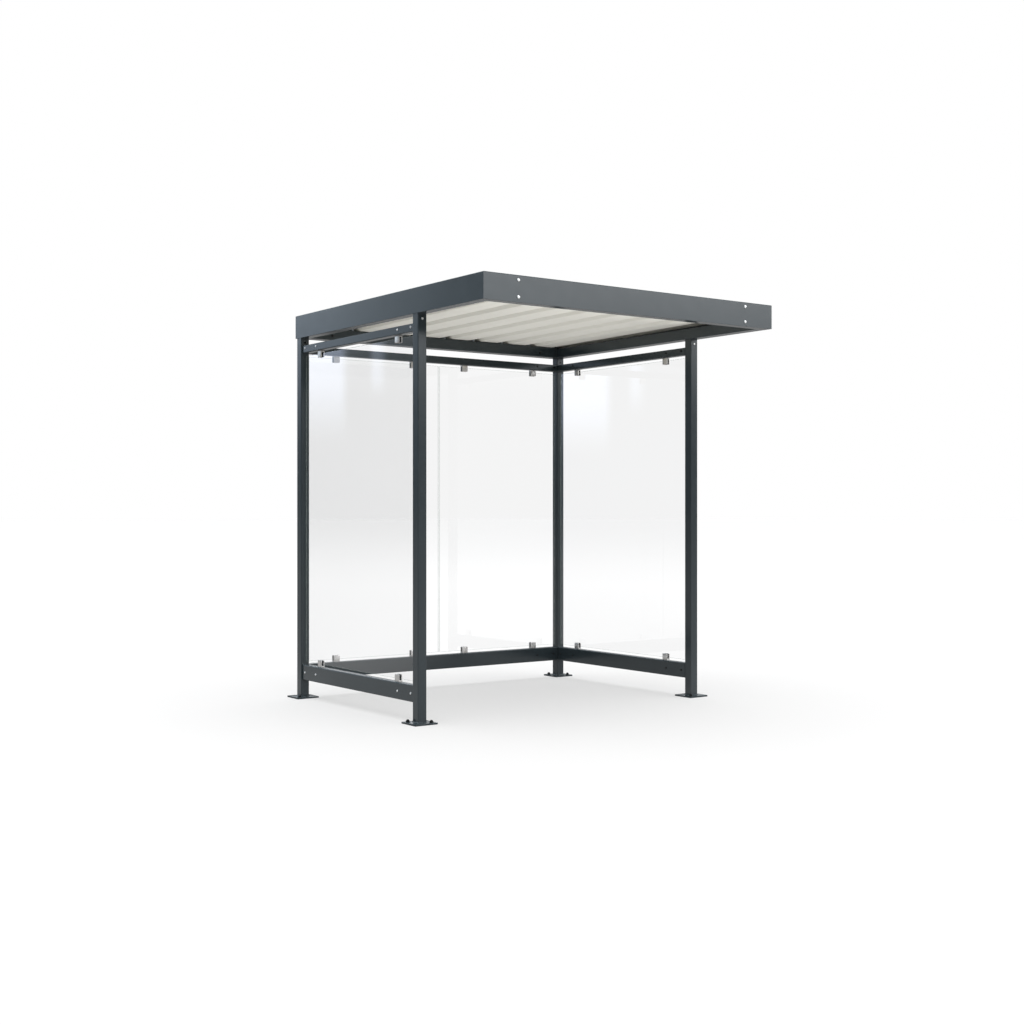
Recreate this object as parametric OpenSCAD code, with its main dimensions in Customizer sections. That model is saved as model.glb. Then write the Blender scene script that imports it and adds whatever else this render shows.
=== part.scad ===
// Open-fronted smoking shelter: a powder-coated steel frame on four posts,
// clamped glass on three sides, and a flat trapezoidal sheet roof behind a
// deep fascia. X runs along the open front, Y to the back wall, Z up, and the
// origin is on the ground in the middle of the whole shelter.

/* [Roof] */
// Overall width of the roof over its side fascias
roof_w = 2210; // [1800:10:3000]
// Overall depth of the roof from front fascia to rear fascia
roof_d = 2210; // [1800:10:3000]
// Height of the roof's underside above the ground
clear_h = 2390; // [1900:10:2900]
// Depth of the fascia's top flange, turned inwards
fascia_cap = 40; // [20:1:60]
// Sheet thickness of the fascias
fascia_t = 2; // [1.5:0.5:4]
// Inner radius of the fold between a fascia's web and its flange
fold_r = 3; // [1:0.5:6]

/* [Roof beams] */
// Side of the square beams that lie on the posts
beam_w = 70; // [60:1:100]
// Wall thickness of the beams
beam_t = 3; // [2:0.5:6]
// Gap between the beams and the fascias at the front and the sides
fascia_gap = 2; // [1:0.5:6]
// Gap between the rear beam and the rear fascia
fascia_gap_rear = 10; // [2:0.5:12]

/* [Fascia straps] */
// Width of the straps that carry the fascias
strap_w = 40; // [25:1:60]
// Distance of a strap's ends from the fascia's lower and upper edges
strap_edge = 15; // [12:1:25]
// Distance of the fascia bolts from the roof's corners
bolt_corner = 234; // [150:1:300]
// Distance of the fascia bolts from the fascia's lower and upper edges
bolt_edge = 28; // [22:1:40]
// Diameter of the fascia bolts' holes
bolt_hole_d = 9; // [5:0.5:12]

/* [Roof sheet] */
// Height of the sheet's pans above the rear beam
sheet_rise = 6; // [4:1:20]
// Fall of the sheet from the front fascia to the rear one
roof_fall = 20; // [0:1:40]
// Height of the sheet's ribs
rib_h = 35; // [15:1:50]
// Width of a rib where it leaves the pans
rib_foot_w = 96; // [60:1:120]
// Width of a rib's flat top
rib_top_w = 42; // [20:1:55]
// Distance from rib to rib
rib_pitch = 250; // [150:1:300]
// Distance of the first rib from the left edge of the roof
rib_start = 145; // [80:1:220]
// Thickness of the sheet
sheet_t = 1; // [0.6:0.1:2]
// Gap between the sheet's edges and the fascias and straps
sheet_gap = 2; // [1:0.5:5]
// Clearance between the ribs and the fascia's top flange
headroom = 16; // [5:1:40]
// Width of the two supports between the beams and the sheet
support_w = 40; // [20:1:50]
// Wall thickness of the front support, a channel
support_t = 3; // [1.5:0.5:4]
// Distance of the supports' ends from the beams' outer faces
support_end = 15; // [5:1:60]

/* [Posts] */
// Side of the square post
post_w = 60; // [50:1:100]
// Wall thickness of the post
post_t = 3; // [2:0.5:6]
// Outer corner radius of the tubes
tube_r = 5; // [3.5:0.5:8]
// Distance from the roof's front edge to the front posts
front_overhang = 675; // [300:5:900]

/* [Base plates] */
// Side of the square base plate
plate_w = 155; // [120:1:220]
// Thickness of the base plate
plate_t = 10; // [6:1:20]
// Corner radius of the base plate
plate_r = 3; // [2:0.5:20]
// Distance of each anchor hole from the post's centre line, along X and along Y
anchor_off = 50; // [45:1:80]
// Diameter of the anchor holes
anchor_hole_d = 14; // [9:0.5:18]

/* [Rails] */
// Height of the lower rail
lower_rail_h = 100; // [60:1:150]
// Height of the upper rail
upper_rail_h = 50; // [40:1:80]
// Depth of both rails across the wall, flush with the posts on the inside
rail_w = 50; // [30:1:50]
// Wall thickness of the rails
rail_t = 2.5; // [2:0.5:5]
// Height of the lower rail's underside above the ground
lower_rail_z = 122; // [60:1:300]
// Gap between the upper rail's top and the roof's underside
upper_rail_drop = 52; // [30:1:150]

/* [Glass] */
// Thickness of the glass
glass_t = 8; // [6:0.5:12]
// Gap between the glass and the rails above and below it
glass_rail_gap = 19; // [12:0.5:25]
// Gap between the glass and a post
glass_post_gap = 10; // [4:0.5:20]
// Gap between the two panes of the back wall
glass_joint_gap = 10; // [4:0.5:20]

/* [Glass clamps] */
// Height of a clamp from the rail to its free end
clamp_h = 45; // [38:1:60]
// Width of a clamp along the rail
clamp_w = 45; // [30:1:60]
// Thickness of a clamp across the glass
clamp_depth = 26; // [24:1:40]
// Height of a clamp's solid base below its slot
clamp_base = 10; // [6:0.5:12]
// Distance from a clamp's centre to the end of its wall bay
clamp_end = 215; // [120:1:300]
// Radius of the clamp's outer corners
clamp_r = 4; // [2:0.5:6]
// Thickness of the rubber pads between clamp and glass
pad_t = 2.5; // [1.5:0.5:3]
// Distance of the pads' ends from the clamp's sides
pad_inset = 1; // [0.5:0.5:4]

/* [Hidden] */
$fn = 48;

// The posts and beams stand behind the fascias by the fascia's thickness and its gap
inset = fascia_t + fascia_gap;
inset_rear = fascia_t + fascia_gap_rear;

// Outline of the roof, set so that roof and base plates together are centred on the origin
half = post_w / 2;
rear_reach = max(plate_w / 2 - half - inset_rear, 0);
left = -roof_w / 2;
right = roof_w / 2;
front = -(roof_d + rear_reach) / 2;
rear = front + roof_d;

// The fascia hides beams, sheet and ribs
beam_top = clear_h + beam_w;
fascia_h = beam_w + sheet_rise + roof_fall + rib_h + sheet_t + headroom + fascia_t;
strap_h = fascia_h - 2 * strap_edge;

// Places along X, Y and Z that several pieces share
post_x = [left + inset + half, right - inset - half];
post_y = [front + front_overhang + half, rear - inset_rear - half];
wall_shift = half - rail_w / 2;
wall_x = [post_x[0] + wall_shift, post_x[1] - wall_shift];
wall_y = post_y[1] - wall_shift;
lower_rail_top = lower_rail_z + lower_rail_h;
upper_rail_z = clear_h - upper_rail_drop - upper_rail_h;
glass_z0 = lower_rail_top + glass_rail_gap;
glass_z1 = upper_rail_z - glass_rail_gap;
slot_w = glass_t + 2 * pad_t;

// Clear lengths between the posts, along X and along Y
bay_x = post_x[1] - post_x[0] - post_w;
bay_y = post_y[1] - post_y[0] - post_w;
bay_x0 = post_x[0] + half;
bay_y0 = post_y[0] + half;
pane_back = (bay_x - 2 * glass_post_gap - glass_joint_gap) / 2;
pane_side = bay_y - 2 * glass_post_gap;
back_mid = bay_x0 + bay_x / 2;

// The roof sheet lies inside the fascias and the straps and falls to the rear
sheet_x0 = left + fascia_t + sheet_gap;
sheet_x1 = right - fascia_t - sheet_gap;
sheet_y0 = front + inset + sheet_gap;
sheet_run = rear - inset_rear - sheet_gap - sheet_y0;
fall_angle = atan(roof_fall / sheet_run);
rib_run = (rib_foot_w - rib_top_w) / 2;
rib_shift = sheet_t * tan(atan(rib_h / rib_run) / 2);
first_rib_x = left + rib_start;
last_rib = floor((sheet_x1 - first_rib_x - rib_foot_w / 2) / rib_pitch);
function pan_z(y) = beam_top + sheet_rise + roof_fall - (y - sheet_y0) * tan(fall_angle);

steel_colour = "#383e42";
sheet_colour = "#d9d6cc";
glass_colour = [0.80, 0.88, 0.88, 0.35];
stainless_colour = "silver";
rubber_colour = "#1a1a1a";

// ---- Profiles ----

// Rectangle with round corners, centred on the origin
module round_rect(w, d, r) {
    square([w, d - 2 * r], center = true);
    square([w - 2 * r, d], center = true);
    for (x = [-1, 1], y = [-1, 1])
        translate([x * (w / 2 - r), y * (d / 2 - r)])
            circle(r);
}

// Rectangular tube standing on z = 0, with an inner radius of the outer one less the wall
module tube(w, d, wall, length) {
    linear_extrude(length)
        difference() {
            round_rect(w, d, tube_r);
            round_rect(w - 2 * wall, d - 2 * wall, max(tube_r - wall, 0.5));
        }
}

// ---- Posts and base plates ----

// ix and iy pick the post: 0 is left or front, 1 is right or rear
module post(ix, iy) {
    color(steel_colour)
        translate([post_x[ix], post_y[iy], plate_t])
            tube(post_w, post_w, post_t, clear_h - plate_t);
}

// The two anchor holes lie on the diagonal that runs round the shelter, not towards its middle
module base_plate(ix, iy) {
    turn = ix == iy ? -1 : 1;
    color(steel_colour)
        translate([post_x[ix], post_y[iy], 0])
            difference() {
                linear_extrude(plate_t)
                    round_rect(plate_w, plate_w, plate_r);
                for (s = [-1, 1])
                    translate([s * anchor_off, s * turn * anchor_off, -1])
                        cylinder(h = plate_t + 2, d = anchor_hole_d);
            }
}

// ---- Rails ----

module rail_along_y(ix, z, h) {
    color(steel_colour)
        translate([wall_x[ix], bay_y0 + bay_y, z + h / 2])
            rotate([90, 0, 0])
                tube(rail_w, h, rail_t, bay_y);
}

module rail_along_x(z, h) {
    color(steel_colour)
        translate([bay_x0, wall_y, z + h / 2])
            rotate([90, 0, 90])
                tube(rail_w, h, rail_t, bay_x);
}

// ---- Glass ----

module glass_side(ix) {
    color(glass_colour)
        translate([wall_x[ix] - glass_t / 2, bay_y0 + glass_post_gap, glass_z0])
            cube([glass_t, pane_side, glass_z1 - glass_z0]);
}

module glass_back(i) {
    color(glass_colour)
        translate([bay_x0 + glass_post_gap + i * (pane_back + glass_joint_gap),
                   wall_y - glass_t / 2, glass_z0])
            cube([pane_back, glass_t, glass_z1 - glass_z0]);
}

// ---- Glass clamps ----

// A clamp on z = 0: a solid base on the rail, then two jaws. Its width runs along Y.
module clamp() {
    color(stainless_colour)
        difference() {
            translate([-clamp_depth / 2, 0, 0])
                rotate([90, 0, 90])
                    linear_extrude(clamp_depth)
                        clamp_outline();
            translate([-slot_w / 2, -clamp_w, clamp_base])
                cube([slot_w, 2 * clamp_w, clamp_h]);
        }
}

// The U-shaped rubber pad that lines a clamp's slot and holds the pane's edge
module clamp_pad() {
    pad_w = clamp_w - 2 * pad_inset;
    color(rubber_colour)
        difference() {
            translate([-slot_w / 2, -pad_w / 2, clamp_base])
                cube([slot_w, pad_w, clamp_h - clamp_base - pad_inset]);
            translate([-glass_t / 2, -clamp_w, glass_rail_gap])
                cube([glass_t, 2 * clamp_w, clamp_h]);
        }
}

// Face of a clamp: square at the rail, round at the free end's corners
module clamp_outline() {
    translate([-clamp_w / 2, 0])
        square([clamp_w, clamp_h - clamp_r]);
    translate([-clamp_w / 2 + clamp_r, 0])
        square([clamp_w - 2 * clamp_r, clamp_h]);
    for (s = [-1, 1])
        translate([s * (clamp_w / 2 - clamp_r), clamp_h - clamp_r])
            circle(clamp_r);
}

// Puts a clamp on the lower rail, or upside down under the upper rail
module on_rail(upper) {
    if (upper)
        translate([0, 0, upper_rail_z])
            mirror([0, 0, 1])
                children();
    else
        translate([0, 0, lower_rail_top])
            children();
}

// Puts a side wall's clamp or pad in its place; i is 0 or 1 below and 2 or 3 above
module at_side(ix, i) {
    y = i % 2 == 0 ? bay_y0 + clamp_end : bay_y0 + bay_y - clamp_end;
    translate([wall_x[ix], y, 0])
        on_rail(i > 1)
            children();
}

// Puts the back wall's clamp or pad in its place; i is 0 to 3 below and 4 to 7 above
module at_back(i) {
    places = [bay_x0 + clamp_end, back_mid - clamp_end,
              back_mid + clamp_end, bay_x0 + bay_x - clamp_end];
    translate([places[i % 4], wall_y, 0])
        on_rail(i > 3)
            rotate([0, 0, 90])
                children();
}

module clamp_pads() {
    for (ix = [0, 1], i = [0 : 3])
        at_side(ix, i)
            clamp_pad();
    for (i = [0 : 7])
        at_back(i)
            clamp_pad();
}

// ---- Roof frame ----

// Puts a bar that lies along +Y from the origin, its outer face on x = 0, along one side
// of the roof. The bar's frame stands back from the fascias' outer faces: back at the
// front and the sides, back_rear at the rear.
module along(side, back, back_rear) {
    x0 = left + back;
    x1 = right - back;
    y0 = front + back;
    y1 = rear - back_rear;
    translate([0, 0, clear_h]) {
        if (side == "left")
            translate([x0, y0, 0])
                children();
        if (side == "right")
            translate([x1, y1, 0])
                rotate([0, 0, 180])
                    children();
        if (side == "front")
            translate([x1, y0, 0])
                rotate([0, 0, 90])
                    children();
        if (side == "rear")
            translate([x0, y1, 0])
                rotate([0, 0, -90])
                    children();
    }
}

// Space that a bar of the given length keeps when its ends are mitred
module mitre(length, h) {
    linear_extrude(h)
        polygon([[0, 0], [length / 2, length / 2], [0, length]]);
}

module mitred_bar(length, h) {
    intersection() {
        translate([0, length, 0])
            rotate([90, 0, 0])
                linear_extrude(length)
                    children();
        mitre(length, h);
    }
}

// Hole for a fascia bolt through the outer depth of a bar at distance y and height z
module bolt_hole(y, z, depth) {
    translate([-1, y, z])
        rotate([0, 90, 0])
            cylinder(h = depth + 2, d = bolt_hole_d);
}

module beam_profile() {
    translate([beam_w / 2, beam_w / 2])
        difference() {
            round_rect(beam_w, beam_w, tube_r);
            round_rect(beam_w - 2 * beam_t, beam_w - 2 * beam_t, max(tube_r - beam_t, 0.5));
        }
}

module beam_side(side) {
    color(steel_colour)
        along(side, inset, inset_rear)
            mitred_bar(roof_d - inset - inset_rear, beam_w)
                beam_profile();
}

// The lower fascia bolts go through the front and the rear beam
module beam_across(side) {
    length = roof_w - 2 * inset;
    color(steel_colour)
        along(side, inset, inset_rear)
            difference() {
                mitred_bar(length, beam_w)
                    beam_profile();
                bolt_hole(bolt_corner - inset, bolt_edge, beam_w);
                bolt_hole(length - bolt_corner + inset, bolt_edge, beam_w);
            }
}

// ---- Fascias ----

// Folded sheet: the web's outer face on x = 0, the top flange towards +x
module fascia_profile() {
    outer_r = fold_r + fascia_t;
    square([fascia_t, fascia_h - outer_r]);
    translate([outer_r, fascia_h - fascia_t])
        square([fascia_cap - outer_r, fascia_t]);
    intersection() {
        translate([outer_r, fascia_h - outer_r])
            difference() {
                circle(outer_r);
                circle(fold_r);
            }
        translate([0, fascia_h - outer_r])
            square(outer_r);
    }
}

module fascia_side(side) {
    color(steel_colour)
        along(side, 0, 0)
            mitred_bar(roof_d, fascia_h)
                fascia_profile();
}

module fascia_across(side) {
    color(steel_colour)
        along(side, 0, 0)
            difference() {
                mitred_bar(roof_w, fascia_h)
                    fascia_profile();
                for (y = [bolt_corner, roof_w - bolt_corner], z = [bolt_edge, fascia_h - bolt_edge])
                    bolt_hole(y, z, fascia_t);
            }
}

// One strap of thickness t in the gap behind a fascia, centred on y
module strap(y, t) {
    difference() {
        translate([fascia_t, y - strap_w / 2, strap_edge])
            cube([t, strap_w, strap_h]);
        for (z = [bolt_edge, fascia_h - bolt_edge])
            bolt_hole(y, z, fascia_t + t);
    }
}

module fascia_straps() {
    color(steel_colour)
        for (y = [bolt_corner, roof_w - bolt_corner]) {
            along("front", 0, 0)
                strap(y, fascia_gap);
            along("rear", 0, 0)
                strap(y, fascia_gap_rear);
        }
}

// ---- Roof sheet ----

// Underside of the sheet across its width: pans at z = 0, ribs at rib_h.
// shift moves the corners so that the top side keeps an even thickness.
function sheet_line(z, shift) = [
    [sheet_x0, z],
    for (i = [0 : last_rib])
        let (x = first_rib_x + i * rib_pitch)
            each [
                [x - rib_foot_w / 2 - shift, z],
                [x - rib_top_w / 2 - shift, z + rib_h],
                [x + rib_top_w / 2 + shift, z + rib_h],
                [x + rib_foot_w / 2 + shift, z]
            ],
    [sheet_x1, z]
];

function reversed(list) = [for (i = [len(list) - 1 : -1 : 0]) list[i]];

module roof_sheet() {
    length = sheet_run / cos(fall_angle);
    color(sheet_colour)
        translate([0, sheet_y0, pan_z(sheet_y0)])
            rotate([-fall_angle, 0, 0])
                translate([0, length, 0])
                    rotate([90, 0, 0])
                        linear_extrude(length)
                            polygon(concat(
                                sheet_line(0, 0),
                                reversed(sheet_line(sheet_t, rib_shift))));
}

// Section of a support that stands on a beam between y0 and y1 and meets the pans less drop
function support_section(y0, y1, drop) = [
    [y0, beam_top],
    [y1, beam_top],
    [y1, pan_z(y1) - drop],
    [y0, pan_z(y0) - drop]
];

// A channel on the front beam and a flat bar on the rear one carry the sheet
module sheet_supports() {
    length = roof_w - 2 * inset - 2 * support_end;
    margin = (beam_w - support_w) / 2;
    front_y0 = front + inset + margin;
    front_y1 = front_y0 + support_w;
    rear_y1 = rear - inset_rear - margin;
    color(steel_colour)
        translate([-length / 2, 0, 0])
            rotate([90, 0, 90])
                linear_extrude(length) {
                    difference() {
                        polygon(support_section(front_y0, front_y1, 0));
                        polygon(support_section(front_y0 + support_t, front_y1 - support_t, support_t));
                    }
                    polygon(support_section(rear_y1 - support_w, rear_y1, 0));
                }
}

// ---- Assembly ----

post(0, 0);  // post_front_left
post(1, 0);  // post_front_right
post(0, 1);  // post_rear_left
post(1, 1);  // post_rear_right
base_plate(0, 0);  // plate_front_left
base_plate(1, 0);  // plate_front_right
base_plate(0, 1);  // plate_rear_left
base_plate(1, 1);  // plate_rear_right
rail_along_y(0, lower_rail_z, lower_rail_h);  // rail_lower_left
rail_along_y(1, lower_rail_z, lower_rail_h);  // rail_lower_right
rail_along_x(lower_rail_z, lower_rail_h);  // rail_lower_back
rail_along_y(0, upper_rail_z, upper_rail_h);  // rail_upper_left
rail_along_y(1, upper_rail_z, upper_rail_h);  // rail_upper_right
rail_along_x(upper_rail_z, upper_rail_h);  // rail_upper_back
glass_side(0);  // glass_left
glass_side(1);  // glass_right
glass_back(0);  // glass_back_left
glass_back(1);  // glass_back_right
at_side(0, 0) clamp();  // clamp_left_1
at_side(0, 1) clamp();  // clamp_left_2
at_side(0, 2) clamp();  // clamp_left_3
at_side(0, 3) clamp();  // clamp_left_4
at_side(1, 0) clamp();  // clamp_right_1
at_side(1, 1) clamp();  // clamp_right_2
at_side(1, 2) clamp();  // clamp_right_3
at_side(1, 3) clamp();  // clamp_right_4
at_back(0) clamp();  // clamp_back_1
at_back(1) clamp();  // clamp_back_2
at_back(2) clamp();  // clamp_back_3
at_back(3) clamp();  // clamp_back_4
at_back(4) clamp();  // clamp_back_5
at_back(5) clamp();  // clamp_back_6
at_back(6) clamp();  // clamp_back_7
at_back(7) clamp();  // clamp_back_8
clamp_pads();
beam_across("front");  // beam_front
beam_across("rear");  // beam_rear
beam_side("left");  // beam_left
beam_side("right");  // beam_right
fascia_across("front");  // fascia_front
fascia_across("rear");  // fascia_rear
fascia_side("left");  // fascia_left
fascia_side("right");  // fascia_right
fascia_straps();
sheet_supports();
roof_sheet();
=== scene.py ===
import math

import bpy
from bpy.props import FloatProperty, FloatVectorProperty, PointerProperty
from mathutils import Matrix, Vector


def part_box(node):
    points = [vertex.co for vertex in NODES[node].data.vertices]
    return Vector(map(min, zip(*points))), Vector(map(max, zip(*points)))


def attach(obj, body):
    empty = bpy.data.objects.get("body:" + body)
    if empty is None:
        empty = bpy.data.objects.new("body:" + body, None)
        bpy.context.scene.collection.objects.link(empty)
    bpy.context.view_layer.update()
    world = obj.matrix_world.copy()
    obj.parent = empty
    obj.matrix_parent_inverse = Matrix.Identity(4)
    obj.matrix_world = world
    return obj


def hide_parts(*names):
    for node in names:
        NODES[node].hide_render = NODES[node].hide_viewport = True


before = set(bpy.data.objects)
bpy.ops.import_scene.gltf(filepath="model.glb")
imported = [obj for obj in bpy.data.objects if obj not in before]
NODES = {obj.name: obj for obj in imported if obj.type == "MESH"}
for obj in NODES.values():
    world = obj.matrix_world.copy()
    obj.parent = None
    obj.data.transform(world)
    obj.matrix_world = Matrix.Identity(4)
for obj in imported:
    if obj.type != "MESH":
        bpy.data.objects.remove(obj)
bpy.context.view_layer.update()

bl_info = {
    "name": "Smoking shelter",
    "version": (1, 0, 0),
    "blender": (4, 5, 0),
    "location": "View3D > Sidebar > Shelter",
    "description": "Finishes the steelwork, fixings, glass and roof of an open-fronted shelter",
    "category": "Add Mesh",
}


# ---------------------------------------------------------------- sizes and colours

def length(name, description, mm):
    """A length that is typed in millimetres here and kept in metres."""
    return FloatProperty(name=name, description=description, default=mm / 1000, min=0,
                         precision=4, unit="LENGTH", subtype="DISTANCE")


def colour(name, description, rgb):
    return FloatVectorProperty(name=name, description=description, default=rgb, size=3,
                               min=0, max=1, subtype="COLOR")


def share(name, description, value):
    return FloatProperty(name=name, description=description, default=value, min=0, max=1,
                         subtype="FACTOR")


class SteelSettings(bpy.types.PropertyGroup):
    """The powder coat, the base plates and the welds"""
    coat_colour: colour("Coat colour", "Anthracite powder coat of all steelwork", (0.032, 0.045, 0.052))
    coat_roughness: share("Coat roughness", "How dull the satin powder coat is", 0.19)
    peel_size: length("Orange peel", "Distance between the bumps of the powder coat", 1.4)
    plate_ease: length("Plate edge", "Rounding of the cut edges of the base plates", 0.9)
    weld_leg: length("Weld leg", "Leg of the fillet weld round each post foot", 5)
    weld_pitch: length("Weld ripple", "Distance between the ripples of the weld", 2.6)


class FixingSettings(bpy.types.PropertyGroup):
    """The anchors, screws and bolts"""
    steel_colour: colour("Bolt steel", "Bright stainless steel of screws and bolts", (0.82, 0.82, 0.81))
    # the anchor nuts' own black, which on the fixings inside the shelter is painted shade
    black_and_shade_colour: colour("Anchor caps", "Black finish of the anchor nuts", (0.006, 0.0065, 0.007))
    anchor_offset: length("Anchor offset", "From the post's middle to an anchor, along each side", 50)
    washer_dia: length("Anchor washer", "Outside diameter of the anchor washers", 24)
    washer_t: length("Washer thickness", "Thickness of the anchor washers", 2.5)
    nut_flats: length("Anchor nut", "Distance across the flats of the cap nuts", 20)
    nut_h: length("Nut height", "Height of the hexagon of a cap nut", 6)
    cap_h: length("Cap height", "Height of the dome on a cap nut", 6.5)
    screw_dia: length("Screw head", "Diameter of the button heads of rails and posts", 14)
    screw_h: length("Screw head height", "Height of those button heads", 4)
    screw_end: length("First screw", "From a post's face to the first rail screw", 36)
    screw_rise: length("Screw rise", "From the middle of an upper rail up to its screws", 4)
    screw_pitch: length("Screw pitch", "From the first rail screw to the second", 151)
    post_drop: length("Post screw drop", "From the beam down to the screw in a post's face", 31)
    bolt_dia: length("Fascia bolt head", "Diameter of the heads of the fascia bolts", 19)
    bolt_h: length("Fascia bolt height", "Height of the heads of the fascia bolts", 4.6)
    bolt_corner: length("Bolt from corner", "From the roof's side to the fascia bolts", 234)
    bolt_edge: length("Bolt from edge", "From the fascia's edges to its bolts", 28)
    roofing_dia: length("Roofing washer", "Diameter of the sealing washers on the roof sheet", 16)
    roofing_inset: length("Roofing screw inset", "From a support's outer edge to its screws", 20)


class RoofSettings(bpy.types.PropertyGroup):
    """The roof sheet"""
    sheet_colour: colour("Sheet colour", "Off-white coil coating of the roof sheet", (0.765, 0.748, 0.68))
    sheet_t: length("Sheet thickness", "Thickness of the roof sheet", 1)
    bend: length("Bend", "How far each bend of the sheet is rounded", 2.6)
    rib_pitch: length("Rib pitch", "Distance between the ribs", 250)
    rib_start: length("First rib", "From the roof's left side to the first rib's middle", 145)
    fall: length("Fall", "How much lower the sheet lies at the rear", 20)


class GlassSettings(bpy.types.PropertyGroup):
    """The panes and their clamps"""
    clearness: share("Clearness", "How much of the view a pane lets through", 0.987)
    passing: share("Passing light", "How much light a pane lets through onto other things", 0.72)
    mirroring: FloatProperty(name="Mirroring", default=1.75, min=1,
                             description="Refractive index that sets how much a pane mirrors")
    edge_colour: colour("Edge colour", "Polished edge of the panes", (0.42, 0.50, 0.47))
    chamfer: length("Chamfer", "Ground chamfer of the pane edges", 0.9)
    clamp_colour: colour("Clamp steel", "Brushed stainless steel of the glass clamps", (0.67, 0.65, 0.63))
    clamp_ease: length("Clamp edge", "Rounding of the clamp edges", 0.8)
    clamp_screw_dia: length("Clamp screw", "Diameter of the screw heads in the clamps", 8.5)
    rubber_colour: colour("Rubber", "Black rubber between clamps and glass", (0.012, 0.012, 0.012))


class StageSettings(bpy.types.PropertyGroup):
    """The floor and the camera"""
    floor_colour: colour("Floor", "Plain pale floor", (0.285, 0.285, 0.285))
    floor_size: length("Floor size", "Side of the floor", 400000)
    lens: FloatProperty(name="Lens", description="Focal length", default=49.93, min=1, unit="CAMERA")
    sensor: FloatProperty(name="Sensor", description="Width of the sensor", default=36, min=1, unit="CAMERA")
    eye: FloatVectorProperty(name="Eye", description="Where the camera stands", size=3, unit="LENGTH",
                             subtype="TRANSLATION", default=(-5.4615, -7.4510, 1.2345))
    heading: FloatProperty(name="Heading", description="Turn of the camera towards the right",
                           default=math.radians(35.6967), unit="ROTATION", subtype="ANGLE")


# ---------------------------------------------------------------- workshop

# metres within which two points count as one
SAME_PLACE = 1e-5
# degrees between two faces from which their edge is eased, and from which it is shaded sharp
EASED_ANGLE = 40
SHARP_ANGLE = 35
# degrees by which each fixing is turned further than the one before it
FIXING_TURN = 37


def deselect_all():
    """Leaves edit mode, with nothing selected."""
    if bpy.context.mode != "OBJECT":
        bpy.ops.object.mode_set(mode="OBJECT")
    bpy.ops.object.select_all(action="DESELECT")


def work_on(*pieces):
    """Only these pieces are selected, and the last one is active."""
    deselect_all()
    for piece in pieces:
        piece.select_set(True)
    bpy.context.view_layer.objects.active = pieces[-1]


def new_primitive(add, **size):
    """Adds a primitive with nothing else selected and returns it."""
    deselect_all()
    add(**size)
    return bpy.context.active_object


def new_object(name, data):
    """Puts a mesh, a lamp or a camera into the scene."""
    holder = bpy.data.objects.new(name, data)
    bpy.context.scene.collection.objects.link(holder)
    return holder


def pick(piece, kind, wanted):
    """Opens the piece in edit mode with just the wanted faces or edges selected."""
    work_on(piece)
    bpy.context.tool_settings.mesh_select_mode = (False, kind == "edges", kind == "faces")
    mesh = piece.data
    for group in (mesh.polygons, mesh.edges, mesh.vertices):
        group.foreach_set("select", [False] * len(group))
    found = [item for item in (mesh.edges if kind == "edges" else mesh.polygons) if wanted(item)]
    if not found:
        raise RuntimeError(f"{piece.name}: nothing to pick")
    for item in found:
        item.select = True
    bpy.ops.object.mode_set(mode="EDIT")


def looks_up(face):
    return face.normal.z > 0.9


def smooth(piece, degrees=SHARP_ANGLE):
    work_on(piece)
    bpy.ops.object.shade_smooth_by_angle(angle=math.radians(degrees))


def lay_in_place(piece):
    """Puts the piece's place into its mesh, so its object sits unturned at the origin."""
    work_on(piece)
    bpy.ops.object.transform_apply(location=True, rotation=True, scale=True)


def joined(name, *pieces):
    """Makes the pieces one."""
    work_on(*pieces)
    bpy.ops.object.join()
    whole = bpy.context.active_object
    whole.name = name
    return whole


def apply_modifier(piece, modifier):
    work_on(piece)
    bpy.ops.object.modifier_apply(modifier=modifier.name)


def merged_copy(node, name):
    """A copy of a CAD solid with its loose triangles joined into flat faces."""
    piece = new_object(name, NODES[node].data.copy())
    work_on(piece)
    bpy.ops.mesh.customdata_custom_splitnormals_clear()
    bpy.ops.object.mode_set(mode="EDIT")
    bpy.ops.mesh.select_all(action="SELECT")
    bpy.ops.mesh.remove_doubles(threshold=SAME_PLACE)
    bpy.ops.mesh.dissolve_limited(angle_limit=math.radians(0.5))
    bpy.ops.object.mode_set(mode="OBJECT")
    return piece


def ease_edges(piece, width, segments):
    """Rounds every sharp edge."""
    bevel = piece.modifiers.new("eased", "BEVEL")
    bevel.width = width
    bevel.segments = segments
    bevel.limit_method = "ANGLE"
    bevel.angle_limit = math.radians(EASED_ANGLE)
    apply_modifier(piece, bevel)
    smooth(piece)


def upright(sides, radius, low, high):
    """A cylinder or a prism on the Z axis, from one height to another."""
    piece = new_primitive(bpy.ops.mesh.primitive_cylinder_add, vertices=sides, radius=radius,
                          depth=high - low, location=(0, 0, (low + high) / 2))
    lay_in_place(piece)
    return piece


def hexagon(flats, low, high):
    """A hexagonal prism on the Z axis, by its distance across the flats."""
    return upright(6, flats / 2 / math.cos(math.pi / 6), low, high)


def round_rim(piece, height, width, segments):
    """Rounds the edges that lie at the given height."""
    points = piece.data.vertices
    pick(piece, "edges", lambda edge: all(abs(points[i].co.z - height) < SAME_PLACE for i in edge.vertices))
    bpy.ops.mesh.bevel(offset=width, segments=segments, affect="EDGES")


def button_head(dia, h, socket):
    """A button head screw with a domed rim and a hexagon socket, standing on the origin."""
    head = upright(28, dia / 2, 0, h)
    round_rim(head, h, width=h * 0.72, segments=4)
    socket_depth = h * 0.55
    tool = hexagon(socket, h - socket_depth, h + socket_depth)
    cut = head.modifiers.new("socket", "BOOLEAN")
    cut.object = tool
    cut.solver = "EXACT"
    apply_modifier(head, cut)
    bpy.data.objects.remove(tool)
    smooth(head)
    return head


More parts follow.
